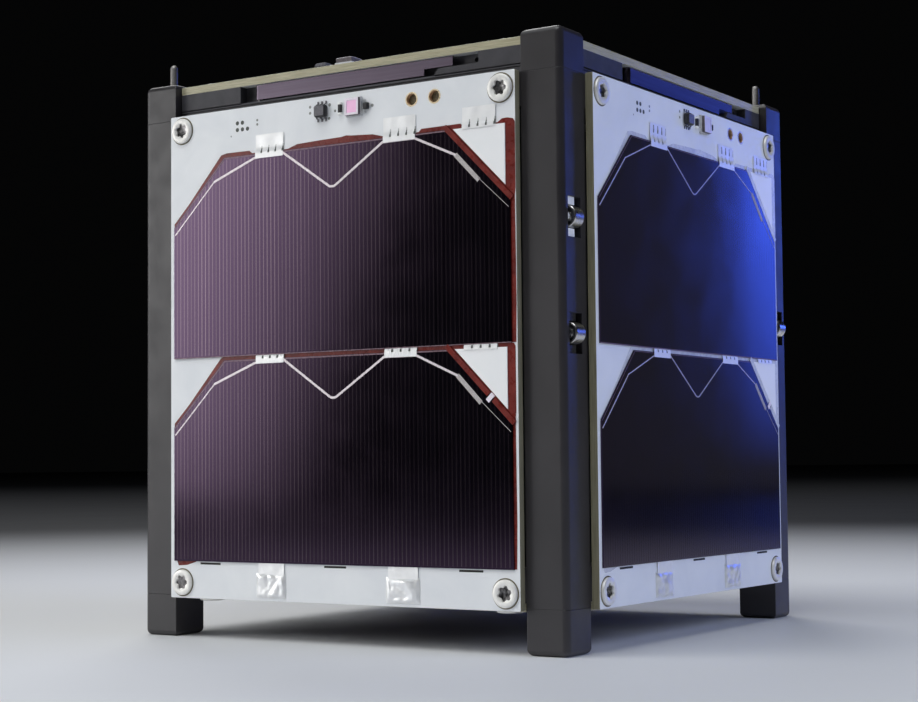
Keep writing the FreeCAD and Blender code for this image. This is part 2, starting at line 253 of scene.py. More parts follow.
def cell_glass():
    """Nearly black glass with a violet mirror image, and streaks up the cell."""
    s = Shader("solar_cell", IOR=1.62, Specular_IOR_Level=0.5,
               Specular_Tint=(0.775, 0.447, 0.88, 1),
               Coat_Weight=0.06, Coat_Roughness=0.04, Coat_IOR=1.4)
    wide = s.ramp(s.grain(20, detail=3), 0, 1)
    streak = s.ramp(s.grain(0.9, (1, 1, 60)), 0, 1)
    deep = s.blend(wide, (0.0008, 0.0009, 0.0014), (0.0018, 0.0012, 0.0024))
    s.colour(s.blend(streak, deep, (0.0032, 0.0026, 0.0040)))
    s.rough(s.ramp(s.grain(9), 0.085, 0.110))
    s.bump(s.grain(0.5, (1, 1, 30)), 0.0003)
    return s.mat


def cell_fingers():
    """Printed fingers: nearly as smooth as the cell, more reflective, each a little different."""
    s = Shader("printed_fingers", Metallic=0.93)
    each = s.ramp(s.grain(0.8, (1, 1, 400), detail=1), 0, 1, (0.38, 0.62))
    s.colour(s.blend(each, (0.084, 0.061, 0.083), (0.118, 0.088, 0.112)))
    s.rough(s.ramp(s.grain(9), 0.10, 0.13))
    s.bump(s.grain(0.5, (1, 1, 30)), 0.0003)
    return s.mat


def film_tape(name, dark, light):
    s = Shader(name, Specular_IOR_Level=0.3, Coat_Weight=0.10, Coat_Roughness=0.15)
    tone = s.ramp(s.grain(3.5, detail=4, distort=0.8), 0, 1)
    s.colour(s.blend(tone, dark, light))
    s.rough(s.ramp(s.grain(1.1), 0.22, 0.40))
    s.bump(s.grain(2.2, distort=0.5), 0.01)
    return s.mat


def pearl():
    s = Shader("diode_face", Specular_IOR_Level=0.6, Coat_Weight=0.2, Coat_Roughness=0.2)
    s.colour(s.blend(s.ramp(s.grain(5, detail=4), 0, 1), (0.97, 0.975, 0.98), (1.0, 1.0, 1.0)))
    s.rough(s.ramp(s.grain(2), 0.36, 0.44))
    s.bump(s.grain(0.5), 0.003)
    return s.mat


MATERIALS = {
    "anodised": anodised(),
    "frame": plain("antenna_frame", (0.047, 0.046, 0.053), (0.061, 0.059, 0.068),
                   (0.44, 0.56), 3, 0.004, Specular_IOR_Level=0.45),
    "cell": cell_glass(),
    "tape": film_tape("amber_tape", (0.125, 0.012, 0.009), (0.205, 0.025, 0.018)),
    # Key clear: the amber tape drawn pale blue-grey for the right panel, a painted reflection of
    # the blue light.
    "clear": film_tape("amber_tape_painted_blue", (0.55, 0.56, 0.64), (0.70, 0.71, 0.77)),
    "diode": pearl(),
    "fingers": cell_fingers(),
    "lines": plain("printed_silver", (0.76, 0.69, 0.71), (0.90, 0.83, 0.85),
                   (0.42, 0.52), 0.3, 0.003, Metallic=0.7),
    "bar": plain("silver_bar", (0.46, 0.42, 0.41), (0.59, 0.55, 0.54),
                 (0.45, 0.55), 0.3, 0.003, Metallic=0.3),
    "rim": plain("cell_rim", (0.15, 0.095, 0.12), (0.26, 0.17, 0.20),
                 (0.38, 0.5), 0.8, 0.003, Metallic=0.3),
    "foil": plain("silver_foil", (0.96, 0.96, 0.96), (1.0, 1.0, 0.99),
                  (0.34, 0.42), 1.2, 0.002, Metallic=0.35),
    "solder": plain("tinned_solder", (0.88, 0.89, 0.90), (0.98, 0.98, 0.97),
                    (0.30, 0.42), 1.6, 0.002, Metallic=0.6),
    "steel": metal("steel", (0.62, 0.61, 0.60), (0.76, 0.75, 0.73), (0.26, 0.34), 0.5, bump=0.0006),
    # Near-white, without metal: painted highlight on the first roller's bracket, and bright tinned
    # metal with a painted glint on the capacitor's ends.
    "white_with_painted_glint": plain("white_steel_painted_glint", (0.95, 0.95, 0.93), (1.0, 1.0, 0.98),
                      (0.3, 0.4), 1.0, 0.001),
    "screw": plain("screw", (0.90, 0.885, 0.845), (0.98, 0.965, 0.92),
                   (0.42, 0.52), 0.9, 0.002, Metallic=0.45),
    # Dark steel at the floor of the screws' recesses: painted shade in the recess.
    "floor_shade_steel": metal("screw_floor_painted_shade", (0.03, 0.03, 0.03), (0.30, 0.29, 0.29),
                    (0.25, 0.40), 0.9, bump=0.08),
    "plunger": metal("plunger_steel", (0.30, 0.29, 0.28), (0.42, 0.40, 0.39), (0.46, 0.58), 0.3),
    "dark_steel": metal("dark_steel", (0.10, 0.10, 0.11), (0.17, 0.17, 0.18), (0.30, 0.42), 0.4),
    # Spring steel of the antenna tapes, tinted violet: painted reflection of violet light on grey
    # steel.
    "violet_sheen_steel": metal("spring_tape", (0.152, 0.122, 0.160), (0.180, 0.148, 0.190),
                    (0.36, 0.44), 0.35, (40, 40, 1), 0.001),
    "gold": metal("gold_plating", (0.86, 0.70, 0.44), (0.95, 0.82, 0.58), (0.26, 0.36), 0.4),
    "chip": plain("chip", (0.016, 0.016, 0.018), (0.034, 0.034, 0.036), (0.42, 0.6), 0.5, 0.01),
    # Lighter grey for the tops of chips: painted light on black chip bodies.
    "chip_lit_top": plain("chip_lit_top", (0.105, 0.10, 0.115), (0.145, 0.14, 0.155),
                      (0.30, 0.38), 0.5, 0.006),
    # Dark brown-grey for the sun sensor's body: painted shade under its frame.
    "waist_painted_shade": plain("sensor_waist_shade", (0.085, 0.072, 0.076), (0.13, 0.11, 0.115),
                     (0.45, 0.6), 0.5, 0.01),
    # Pale tan, with little metal, inside the plated holes: painted reflection in place of the
    # gold's own.
    "tan_painted_reflection": plain("gold_painted_reflection", (0.62, 0.40, 0.24), (0.80, 0.54, 0.34),
                    (0.40, 0.5), 0.6, 0.004, Metallic=0.2),
    "hole": plain("shadowed_hole", (0.010, 0.010, 0.009), (0.024, 0.022, 0.016),
                  (0.5, 0.7), 0.4, 0.01),
    "ring": plain("bare_laminate", (0.10, 0.085, 0.05), (0.20, 0.17, 0.10), (0.4, 0.6), 0.3, 0.01),
    # Grey of the small vias, also used as painted shade under the slits of the tabs.
    "grey_dot_and_slit_shade": plain("grey_dot_and_slit_shade", (0.24, 0.255, 0.24), (0.36, 0.37, 0.35),
                 (0.4, 0.55), 0.3, 0.004, Metallic=0.4),
    # Near-black discs for the larger dots: painted shade of small holes.
    "hole_shade_disc": plain("hole_shade_disc", (0.045, 0.052, 0.045), (0.09, 0.10, 0.085),
                      (0.4, 0.6), 0.3, 0.004),
    "base": plain("sensor_base", (0.52, 0.52, 0.53), (0.64, 0.64, 0.65), (0.4, 0.5), 0.7, 0.004),
    "white": plain("white_ceramic", (0.90, 0.81, 0.89), (0.97, 0.88, 0.96),
                   (0.25, 0.4), 0.7, 0.004),
    # Violet for the right panel's sun sensor: painted blue light on its white frame and pink
    # window.
    "blue_lit_sensor": plain("sensor_blue_lit", (0.66, 0.62, 0.82), (0.76, 0.71, 0.90),
                    (0.30, 0.38), 1.5, 0.002),
    "window": plain("sensor_window", (0.95, 0.54, 0.79), (1.0, 0.60, 0.85),
                    (0.28, 0.36), 1.5, 0.002, Metallic=0.3),
    "stack": plain("stack", (0.02, 0.045, 0.028), (0.03, 0.06, 0.036), (0.4, 0.6), 4, 0.02),
    "board_x": circuit_board(0), "board_y": circuit_board(1), "board_z": circuit_board(2),
}


# ---------------------------------------------------------------- mesh building

WELD = 2e-7                   # metres within which corners of a piece are one
MITRE = 0.3                   # least cosine at a bend, so that a sharp corner stays short
ROUND = 48                    # sides of the larger round pieces


class Sketch:
    """Faces of one piece in flat millimetres: u right, v up, w outwards."""

    def __init__(self, *materials):
        self.names = materials
        self.verts, self.faces, self.marks = [], [], []

    def add(self, verts, faces, name=None):
        start = len(self.verts)
        self.verts += [Vector(v) for v in verts]
        self.faces += [[start + i for i in f] for f in faces]
        self.marks += [self.names.index(name) if name else 0] * len(faces)

    def rings(self, rings, name=None, caps=(True, True)):
        """Skin over rings that have the same number of points, closed round each ring."""
        n = len(rings[0])
        faces = [(r * n + i, r * n + (i + 1) % n, (r + 1) * n + (i + 1) % n, (r + 1) * n + i)
                 for r in range(len(rings) - 1) for i in range(n)]
        faces += [tuple(range(n))] if caps[0] else []
        faces += [tuple(range((len(rings) - 1) * n, len(rings) * n))] if caps[1] else []
        self.add([p for ring in rings for p in ring], faces, name)

    def prism(self, outline, levels, name=None, caps=(True, True)):
        """Outline at each (w, inset) of the levels."""
        self.rings([[(u, v, w) for u, v in inset(outline, d)] for w, d in levels], name, caps)

    def block(self, u0, u1, v0, v1, w0, w1, name=None, bevel=0.0):
        outline = [(u0, v0), (u1, v0), (u1, v1), (u0, v1)]
        top = [(w1 - bevel, 0), (w1, bevel)] if bevel else [(w1, 0)]
        self.prism(outline, [(w0, 0)] + top, name)

    def ribbon(self, line, width, w0, w1, name=None):
        """Strip of that width along an open line."""
        self.prism(widened(line, width), [(w0, 0), (w1, 0)], name)

    def turned(self, centre, profile, sides, name=None, wave=None, loop=False, caps=(True, True)):
        """Profile of (radius, w) turned about w; wave(row, angle) changes a row's radius."""
        rows = []
        for k, (radius, w) in enumerate(profile):
            row = []
            for i in range(sides):
                a = 2 * math.pi * i / sides
                r = radius * (wave(k, a) if wave else 1)
                row.append((centre[0] + r * math.cos(a), centre[1] + r * math.sin(a), w))
            rows.append(row)
        if loop:
            rows.append(rows[0])
        self.rings(rows, name, (False, False) if loop else caps)

    def sheet(self, us, vs, height, name, gaps=()):
        """Open sheet over a grid of u and v, left out inside the gaps (u0, u1, v0, v1)."""
        n = len(us)
        verts = [(u, v, height(u, v)) for v in vs for u in us]
        faces = []
        for j in range(len(vs) - 1):
            for i in range(n - 1):
                u, v = (us[i] + us[i + 1]) / 2, (vs[j] + vs[j + 1]) / 2
                if not any(a < u < b and c < v < d for a, b, c, d in gaps):
                    at = j * n + i
                    faces.append((at, at + 1, at + n + 1, at + n))
        self.add(verts, faces, name)

    def piece(self, name, place, body="bus", slot=None, solid=True, smooth=30):
        """Object of the faces, set by the matrix place, riding on the body."""
        mesh = bpy.data.meshes.new(name)
        mesh.from_pydata([place @ v for v in self.verts], [], self.faces)
        for m in self.names:
            mesh.materials.append(MATERIALS[m])
        mesh.polygons.foreach_set("material_index", self.marks)
        bm = bmesh.new()
        bm.from_mesh(mesh)
        bmesh.ops.remove_doubles(bm, verts=bm.verts, dist=WELD)
        loose = [v for v in bm.verts if not v.link_faces]
        bmesh.ops.delete(bm, geom=loose, context="VERTS")
        if solid:
            bmesh.ops.recalc_face_normals(bm, faces=bm.faces)
        for f in bm.faces:
            f.smooth = True
        for e in bm.edges:
            e.smooth = len(e.link_faces) == 2 and e.calc_face_angle() < math.radians(smooth)
        bm.to_mesh(mesh)
        bm.free()
        obj = bpy.data.objects.new(name, mesh)
        bpy.context.scene.collection.objects.link(obj)
        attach(obj, body)
        return obj


def bend(before, after, d):
    """Way from a corner to its copy on a parallel line, d to the left of both directions."""
    a, b = Vector((-before.y, before.x)), Vector((-after.y, after.x))
    middle = (a + b).normalized()
    return middle * (d / max(middle.dot(a), MITRE))


def inset(outline, d):
    """Closed outline moved inwards by d; it runs anticlockwise."""
    if not d:
        return list(outline)
    pts = [Vector(p) for p in outline]
    ways = [(pts[(i + 1) % len(pts)] - p).normalized() for i, p in enumerate(pts)]
    return [tuple(p + bend(ways[i - 1], ways[i], d)) for i, p in enumerate(pts)]


def widened(line, width):
    """Closed outline of a strip along an open line."""
    pts = [Vector(p) for p in line]
    ways = [(b - a).normalized() for a, b in zip(pts, pts[1:])]
    reach = [bend(a, b, width / 2) for a, b in zip(ways[:1] + ways, ways + ways[-1:])]
    left = [tuple(p + r) for p, r in zip(pts, reach)]
    right = [tuple(p - r) for p, r in zip(pts, reach)]
    return right + left[::-1]


def steps(a, b, size):
    """Even steps from a to b of about that size."""
    n = max(1, round(abs(b - a) / size))
    return [a + (b - a) * i / n for i in range(n + 1)]


def crumple(u, v, seed, size):
    """Smooth noise over the board with waves of that size."""
    return noise.noise(Vector((u / size, v / size, seed * 7.3)))


def add_thickness(obj, t):
    mod = obj.modifiers.new("thickness", "SOLIDIFY")
    mod.thickness = t * MM
    mod.offset = 1.0


# ---------------------------------------------------------------- the six panels

PANELS = (("front", X, Z), ("right", Y, Z), ("rear", -X, Z), ("left", -Y, Z),
          ("top", X, Y), ("bottom", X, -Y))                 # name, direction of u, of v
CELL_GAP = 0.7                # between the two cells
CELL_CROP = 13.2              # cut-off corner
STRIP_V = 3.0                 # row of small parts, from the board's edge


class Panel:
    """Flat axes of a board, with its origin in the middle of the board's face."""

    def __init__(self, name, u, v):
        self.name, self.u, self.v, self.w = name, u, v, u.cross(v)
        low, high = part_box(name + "_board")
        self.origin = (low + high) / 2 + self.w * abs(self.w.dot(high - low)) / 2
        self.place = Matrix((u * MM, v * MM, self.w * MM)).transposed().to_4x4()
        self.place.translation = self.origin
        self.half_v = abs(v.dot(high - low)) / MM / 2
        spans = [self.flat(p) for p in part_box(name + "_solar_cells")]
        self.cell_half = abs(spans[0].x)
        self.cells_low, self.cells_high = sorted(p.y for p in spans)
        self.glass = max(p.z for p in spans)
        self.cell_height = (self.cells_high - self.cells_low - CELL_GAP) / 2
        self.lows = (self.cells_low, self.cells_high - self.cell_height)
        self.side = name not in ("top", "bottom")
        self.seed = [p[0] for p in PANELS].index(name)
        self.strip = self.half_v - STRIP_V if self.side else STRIP_V - self.half_v

    def flat(self, point):
        """A point of the frame on the board: u, v and w in millimetres."""
        d = point - self.origin
        return Vector((self.u.dot(d), self.v.dot(d), self.w.dot(d))) / MM

    def piece(self, sketch, name, slot=None, **more):
        return sketch.piece(self.name + "_" + name, self.place, "bus", slot, **more)


# What is printed on a cell starts SUNK under the face of the glass and ends a RISE over it.
SUNK = 0.01
FINGER_RISE, LINE_RISE, RIM_RISE = 0.015, 0.04, 0.03

# The conductor over a cell, by u and height over the cell's lower edge: a thin head, the printed
# line with its V in the middle, a wide bar and a thin tail.
BUSBAR = ((-29.6, 35.4), (-19.1, 39.3), (-11.9, 39.7), (-0.75, 32.15), (-0.3, 31.95), (0.5, 31.95),
          (0.95, 32.15), (12.1, 39.3), (19.4, 39.3), (28.6, 35.2))
BUSBAR_ENDS = (((-39.9, 25.3), (-29.4, 35.55), 0.26, "lines"),
               ((28.5, 35.3), (33.6, 30.1), 0.9, "bar"),
               ((33.4, 30.6), (39.9, 24.7), 0.10, "bar"))   # from, to, width, material

# Widths of the printed lines. On the right panel they look worn thin.
BUSBAR_W, BUSBAR_WORN = 0.45, 0.22
FINGER_W, FINGER_WORN = 0.21, 0.05
RIM_W, RIM_WORN = 0.26, 0.08
FINGER_PITCH = 0.937
FINGER_EDGE = 0.4             # from the cell's sides and upper edge
FINGER_START = 0.35           # from its lower edge
RIM_IN = 0.2                  # from the cell's upper edge
JOIN_V, JOIN_W = 0.1, 0.17    # light line along the lower edge of the upper cell


def cell_lines(panel):
    """Fingers, conductors and the light rim along the upper edges of both cells."""
    s = Sketch("lines", "fingers", "rim", "bar")
    worn = panel.name == "right"
    half, glass, under = panel.cell_half, panel.glass, panel.glass - SUNK
    finger = (FINGER_WORN if worn else FINGER_W) / 2
    count = int(2 * (half - FINGER_EDGE) / FINGER_PITCH)
    for k, low in enumerate(panel.lows):
        top = low + panel.cell_height
        for i in range(count + 1):
            u = (i - count / 2) * FINGER_PITCH
            end = top - FINGER_EDGE - max(0.0, abs(u) - half + CELL_CROP)
            s.block(u - finger, u + finger, low + FINGER_START, end, under, glass + FINGER_RISE,
                    "fingers")
        s.ribbon([(u, low + v) for u, v in BUSBAR], BUSBAR_WORN if worn else BUSBAR_W,
                 under, glass + LINE_RISE, "lines")
        for a, b, width, look in BUSBAR_ENDS:
            s.ribbon([(a[0], low + a[1]), (b[0], low + b[1])], width, under, glass + RIM_RISE, look)
        rim = [(RIM_IN - half, top - CELL_CROP - RIM_IN), (CELL_CROP - half + RIM_IN, top - RIM_IN),
               (half - CELL_CROP, top - RIM_IN)]
        s.ribbon(rim, RIM_WORN if worn else RIM_W, under, glass + RIM_RISE, "rim")
        if k:
            s.ribbon([(-half, low + JOIN_V), (half, low + JOIN_V)], JOIN_W, under, glass + RIM_RISE,
                     "rim")
    panel.piece(s, "cell_lines")


# Upper edge of the amber tape under the upper cell of a panel: u, and height over the cell.
TAPE_EDGE = ((39.7, 0.95), (38.5, 0.9), (37.6, 0.3), (30.3, 0.3), (29.5, 0.9), (20.8, 0.85),
             (20.2, 0.3), (12.3, 0.3), (9.6, 1.0), (4.6, 1.3), (3.4, 1.45), (2.2, 1.25),
             (-3.0, 1.15), (-8.6, 0.95), (-10.9, 0.25), (-19.9, 0.3), (-20.6, 0.85), (-26.4, 0.9))
TAPE_OVER = (0.62, 0.98)      # past the right side of the lower and the upper cell
TAPE_OVER_CROP = 0.7777       # over the slanting edge of the left corner, along v
RIGHT_TAPE_OVER_CROP = 0.1375      # the same for the right panel's tape
TAPE_T = 0.06
# The strip along the diode's corner, for the lower and the upper cell. The lower one has a gap with
# a white patch in it.
BAND_W, BAND_RISE, BAND_BASE = 1.0, 0.04, 0.02
BAND_END = (0.65, 0.6)                        # its upper end over the cell
BAND_PARTS = (((0, 0.3), (0.37, 1)), ((0, 1),))             # by share of its length
PATCH_AT, PATCH_W, PATCH_RISE = 0.335, 0.9, 0.07
SMEAR = ((-39.3, -0.95), (-37.0, -0.8), (-34.6, -0.1), (-34.6, 0.3), (-39.8, 0.3))


def cell_tape(panel):
    """Tape under each cell and along the diode's corner: amber, drawn pale blue-grey on the right
    panel as a painted reflection of the blue light.
    """
    clear = panel.name == "right"
    # On the right panel the amber tape takes the pale blue-grey material: painted reflection of the
    # blue light.
    film = "clear" if clear else "tape"
    s = Sketch(film, "white", "grey_dot_and_slit_shade")
    tab_shadows(s, panel)
    half, crop, glass = panel.cell_half, CELL_CROP, panel.glass
    out = RIGHT_TAPE_OVER_CROP if clear else TAPE_OVER_CROP
    for k, low in enumerate(panel.lows):
        top, far = low + panel.cell_height, half + TAPE_OVER[k]
        cut = top - crop                      # foot of the slanting edges
        outline = [(0.5 - half, low + 0.3), (far - 0.15, low + 0.1), (far, low + 8),
                   (far - 0.1, cut), (far + 0.05, cut + 1.5), (far + 0.05, top + 0.1),
                   (far - 0.35, top + 0.7)]
        if k:
            outline += [(u, top + rise) for u, rise in TAPE_EDGE]
        else:
            outline += [(half - 0.3, top + CELL_GAP), (crop - half - 0.4, top + CELL_GAP)]
        outline += [(crop - half - 0.9, top + 0.6), (4 - half, cut + 4 + out),
                    (-half - 0.1, cut + out), (-half - 0.1, cut - 0.2), (0.5 - half, cut - 1)]
        s.prism(outline, [(0.0, 0), (TAPE_T, 0)], film)
        foot = Vector((half + 0.35, cut - 0.6))
        head = Vector((half - crop - 0.9, top + BAND_END[k]))
        for part in BAND_PARTS[k]:
            s.ribbon([foot.lerp(head, t) for t in part], BAND_W, BAND_BASE, glass + BAND_RISE, film)
        if not k:
            spot = foot.lerp(head, PATCH_AT)
            s.ribbon([spot - Vector((0.75, 0.75)), spot + Vector((0.45, 0.45))], PATCH_W,
                     BAND_BASE, glass + PATCH_RISE, "white")
    if panel.side:
        smear = [(u, panel.cells_low + v) for u, v in SMEAR]
        s.prism(smear, [(0.0, 0), (TAPE_T, 0.1)], film)
    panel.piece(s, "amber_tape")


TABS = ((-18.85, -11.9), (12.2, 19.55))       # foil tabs over the upper edge of a cell: u from, to
DIODE_TAB = (30.0, 37.2)
TAB_ON_CELL, TAB_ON_DIODE = 0.95, 0.25        # from the upper edge down
TAB_END = 3.75                                # from the upper cell's edge up
FOIL_T = 0.05
FOIL_ON_GLASS, FOIL_ON_BOARD = 0.05, 0.12
# Slits in the tabs: where, as shares of a tab's width, and in steps of width, from and to, measured
# from the cell's edge. Each first for the lower cell, then for the upper one.
SLITS = ((0.245, 0.508, 0.776), (0.225, 0.48, 0.73, 0.985))
SLIT_STEPS = (((0.52, 0.02, 0.34), (0.40, 0.34, 0.58)),
              ((0.44, 0.0, 0.5), (0.26, 0.5, 1.0), (0.12, 1.0, 1.5)))
SLIT_REST = ((0.50, 1.9, 2.6), (0.36, 2.6, 3.4))            # further up, on the right panel
SHADOW_REACH, SHADOW_REST = (0.62, 1.5), 3.45


def tab_height(panel, edge, seed):
    """Height of a foil tab: flat on the cell, then down over its edge onto the board.

    It falls within 1.1 mm and has a soft crease across it at 2.5 mm.
    """
    def height(u, v):
        d = v - edge
        fall = min(1.0, max(0.0, (d - 0.1) / 1.1))
        fall = fall * fall * (3 - 2 * fall)
        wave = 0.05 * crumple(u, v, seed, 2.2) * min(1.0, max(0.0, d + 0.4))
        fold = 0.05 * math.exp(-((d - 2.5) / 0.16) ** 2) * (0.4 + crumple(u, 3, seed, 2.0))
        lie = (panel.glass + FOIL_ON_GLASS) * (1 - fall) + FOIL_ON_BOARD * fall
        return lie + wave + max(0.0, fold)
    return height


def grid_lines(a, b, size, cuts):
    """Even steps from a to b, with a line at each of the cuts in place of the steps close to it."""
    cuts = {round(min(max(c, a), b), 3) for c in cuts}
    even = {round(x, 3) for x in steps(a, b, size) if all(abs(x - c) > 0.05 for c in cuts)}
    return sorted(even | cuts)


def foil_tabs(panel):
    """Interconnect tabs with their slits, two to a cell and one to its diode."""
    s = Sketch("foil")
    for k, low in enumerate(panel.lows):
        edge = low + panel.cell_height
        cut = SLIT_STEPS[k] + (SLIT_REST if k and panel.name == "right" else ())
        for t, (u0, u1) in enumerate(TABS + (DIODE_TAB,)):
            start = edge - (TAB_ON_CELL if t < len(TABS) else TAB_ON_DIODE)
            end = edge + (TAB_END if k else CELL_GAP)
            gaps = []
            for middle in (u0 + (u1 - u0) * f for f in SLITS[k]):
                gaps += [(middle - w / 2, middle + w / 2, edge + a, edge + b) for w, a, b in cut]
            us = grid_lines(u0, u1, 0.3, [u for gap in gaps for u in gap[:2]])
            vs = grid_lines(start, end, 0.28, [v for gap in gaps for v in gap[2:]])
            s.sheet(us, vs, tab_height(panel, edge, panel.seed * 10 + k * 4 + t), "foil", gaps)
    obj = panel.piece(s, "foil_tabs", "diode", solid=False, smooth=50)
    add_thickness(obj, FOIL_T)


def tab_shadows(s, panel):
    """Dark underlay that shows through the slits of the tabs: painted shade."""
    for k, low in enumerate(panel.lows):
        edge = low + panel.cell_height
        reach = SHADOW_REST if k and panel.name == "right" else SHADOW_REACH[k]
        for u0, u1 in TABS + (DIODE_TAB,):
            s.block(u0 + 0.9, u1 + 0.05, edge + 0.04, edge + reach, 0.0, 0.09, "grey_dot_and_slit_shade", 0.02)


SOLDER_FROM, SOLDER_TO = 0.6, 5.4             # over the board's lower edge
STRIP_FROM = 4.6                              # the foil between the solder and the lower cell


def solder_pads(panel):
    """Strips from under the lower cell, soldered down near the board's edge."""
    if not panel.side:
        return
    s = Sketch("foil", "solder")
    edge = -panel.half_v
    for t, (u0, u1) in enumerate(TABS):
        seed = panel.seed * 5 + t + 60
        middle = (u0 + u1) / 2

        def strip(u, v):
            return FOIL_ON_BOARD + 0.05 * crumple(u, v, seed, 1.6)

        def lump(u, v):
            across = min(1.0, (u1 + 0.1 - u) / 0.6, (u - u0 + 0.2) / 0.6)
            up = min(1.0, (edge + SOLDER_TO - v) / 0.7, (v - edge - SOLDER_FROM) / 0.6)
            full = max(0.0, min(across, up))
            ridge = (abs(crumple(u, v, seed, 2.7)) * 0.5
                     + abs(crumple(u, v, seed + 9, 1.1)) * 0.12)
            return 0.02 + full * (0.14 + ridge * (0.7 + 0.3 * math.cos((u - middle) / 2)))

        s.sheet(steps(u0 + 0.35, u1 - 0.25, 0.4),
                steps(edge + STRIP_FROM, panel.cells_low + 0.02, 0.4), strip, "foil")
        s.sheet(steps(u0 - 0.2, u1 + 0.1, 0.25),
                steps(edge + SOLDER_FROM, edge + SOLDER_TO, 0.25), lump, "solder")
    obj = panel.piece(s, "solder_pads", "diode", solid=False, smooth=60)
    add_thickness(obj, FOIL_T)


SCREW_EDGE = 3.1              # from the board's edges
SCREW_SIDE = 1.1              # the side boards reach this far past their cells
SCREW_U = 35.5                # on the top and bottom boards
SCREW_TURN = 0.37             # from one screw's recess to the next one's, in radians
SCREW_R, SCREW_H = 2.56, 0.56
TORX_R, TORX_LOBE = 1.38, 0.15
TORX_FLOOR = 0.14
RING_R = 2.82


def screw_places(panel):
    """Centres of a board's screws."""
    if panel.side:
        return [(su * (panel.cell_half + SCREW_SIDE - SCREW_EDGE),
                 sv * (panel.half_v - SCREW_EDGE)) for su in (-1, 1) for sv in (-1, 1)]
    low, high = panel.cells_low, panel.cells_high
    return [(su * SCREW_U, (edge + cell) / 2) for su in (-1, 1)
            for edge, cell in ((-panel.half_v, low), (panel.half_v, high))]


def screws(panel):
    """Low round heads with a six-lobed recess, on rings of bare laminate."""
    s = Sketch("screw", "ring", "floor_shade_steel")
    head = [(SCREW_R, 0.0), (SCREW_R, SCREW_H - 0.2), (SCREW_R - 0.06, SCREW_H - 0.08),
            (SCREW_R - 0.2, SCREW_H), (TORX_R + 0.2, SCREW_H), (TORX_R + 0.12, SCREW_H - 0.04),
            (TORX_R, SCREW_H - 0.08), (TORX_R - 0.05, SCREW_H - 0.16)]
    lobed = 6                                 # rows of the head from here on follow the recess
    well = [head[-1], (TORX_R - 0.08, TORX_FLOOR)]
    floor = [well[-1], (TORX_R - 0.3, TORX_FLOOR - 0.02), (0.3, 0.05)]
    ring = [(RING_R, -0.01), (RING_R, 0.02), (SCREW_R - 0.1, 0.02), (SCREW_R - 0.1, -0.01)]
    for n, (u, v) in enumerate(screw_places(panel)):
        turn = (panel.seed * 4 + n) * SCREW_TURN

        def lobes(a):
            return 1 + TORX_LOBE * math.cos(6 * (a + turn))

        s.turned((u, v), head, ROUND, "screw", lambda k, a: lobes(a) if k >= lobed else 1,
                 caps=(True, False))
        s.turned((u, v), well, ROUND, "screw", lambda k, a: lobes(a), caps=(False, False))
        # The floor of the recess takes the dark steel: painted shade.
        s.turned((u, v), floor, ROUND, "floor_shade_steel", lambda k, a: 1 if k else lobes(a),
                 caps=(False, True))
        s.turned((u, v), ring, ROUND, "ring", loop=True)
    panel.piece(s, "screws", "steel")


HOLES = ((18.6, 1.15), (23.75, 1.15))                       # plated holes: u, radius
BARREL_DEPTH, BARREL_T = 0.9, 0.05
DOTS = ((-23.7, 0.0, 0.42), (-22.4, 0.0, 0.42), (-23.7, -1.35, 0.42), (-22.4, -1.35, 0.42),
        (-21.1, -1.35, 0.42), (-18.6, 0.1, 0.26), (-18.6, -0.75, 0.26), (-25.3, -2.5, 0.16),
        (-5.37, 1.2, 0.28), (-5.37, 0.0, 0.28), (-0.62, 1.13, 0.32), (-0.77, -1.5, 0.30),
        (0.7, -0.19, 0.27), (9.55, -0.1, 0.3))              # u, v off the strip, radius
SHADED_HOLE_R = 0.4                # dots of a larger radius are holes, drawn as flat discs of painted shade
DASHES = (-30.9, 0.1, 30.9)   # u of their middles
DASH_V, DASH_HALF, DASH_T = 0.42, 2.6, 0.2                  # under the cell, half length and width


def plated_parts(panel):
    """Plated rings, dots and the dark dashes below the lower cell."""
    s = Sketch("gold", "hole", "tan_painted_reflection", "ring", "grey_dot_and_slit_shade", "hole_shade_disc")
    if panel.side:
        for u, r in HOLES:
            at, skin = (u, panel.strip), r - 0.01
            lip = [(r + 0.27, -0.01), (r + 0.24, 0.03), (r - 0.02, 0.03), (r - BARREL_T, -0.03),
                   (skin, -0.03), (skin, -0.01)]
            s.turned(at, lip, 36, "gold", loop=True)
            wall = [(r - BARREL_T, -0.02), (r - BARREL_T, -BARREL_DEPTH), (skin, -BARREL_DEPTH),
                    (skin, -0.02)]
            # The wall inside the hole: painted reflection in a pale tan.
            s.turned(at, wall, 36, "tan_painted_reflection", loop=True)
            plug = [(r - 0.04, -BARREL_DEPTH), (r - 0.04, -0.8), (0.3, -0.75)]
            s.turned(at, plug, 24, "ring")
    for u, dv, r in DOTS:
        s.turned((u, panel.strip + dv), [(r, -0.01), (r, 0.012), (r * 0.8, 0.016)], 20,
                 "hole_shade_disc" if r > SHADED_HOLE_R else "grey_dot_and_slit_shade")
    v = panel.cells_low - DASH_V
    for u in DASHES:
        s.block(u - DASH_HALF, u + DASH_HALF, v - DASH_T, v + DASH_T, -0.01, 0.025, "hole", 0.01)
    panel.piece(s, "plated_parts")


NEAR_U, NEAR_W = 20, 2        # the sensors lie within this of the board's middle and its face


def node_span(panel, node):
    """Spans along u, v and w of the solid of a CAD node that lies on this panel."""
    found = []
    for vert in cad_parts[node].data.vertices:
        p = panel.flat(vert.co)
        if -0.01 < p.z < NEAR_W and abs(p.x) < NEAR_U and abs(p.y) < panel.half_v:
            found.append(p)
    return [(min(p[i] for p in found), max(p[i] for p in found)) for i in range(3)]


